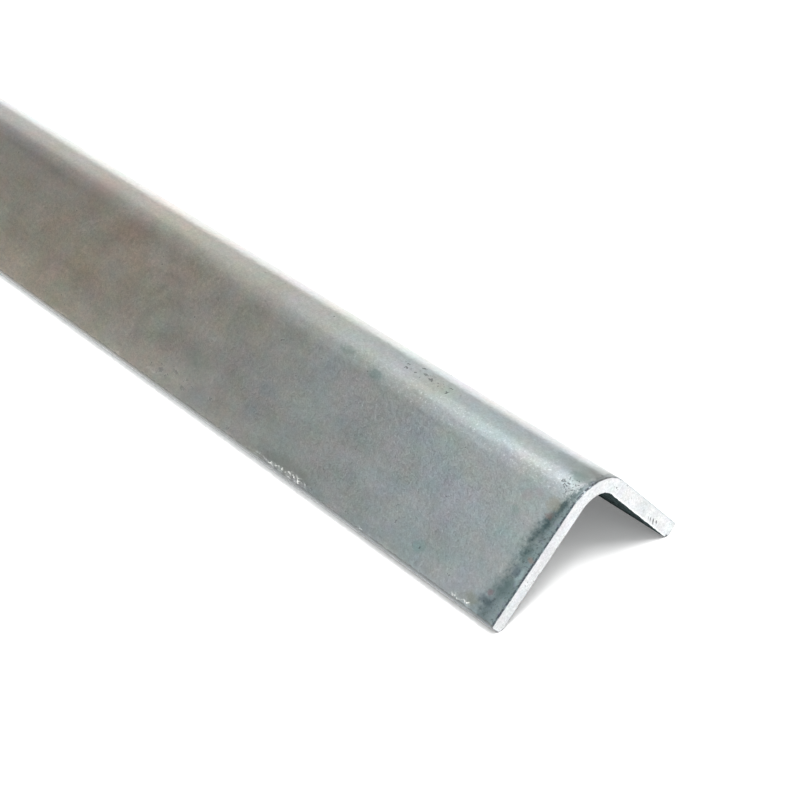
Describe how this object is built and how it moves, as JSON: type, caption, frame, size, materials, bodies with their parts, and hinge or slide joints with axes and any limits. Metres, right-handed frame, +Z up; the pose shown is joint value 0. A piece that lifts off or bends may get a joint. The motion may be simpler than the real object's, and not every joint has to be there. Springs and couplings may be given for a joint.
{
  "type": "metal angle section",
  "caption": "Length of cold-formed equal-leg steel angle with a rounded bend, plain mill finish and square-cut ends, for frames, brackets and edging.",
  "frame": {"origin": "middle of the length, under the bend, on the floor that both toes rest on", "axes": "+X along the bar, +Z up through the bend, +Y across to one toe"},
  "size_m": [1, 0.042, 0.0195],
  "materials": {
    "mill_steel": "satin, uncoated cold-formed steel"
  },
  "bodies": {
    "root": {"angle_section": "mill_steel"}
  },
  "joints": []
}
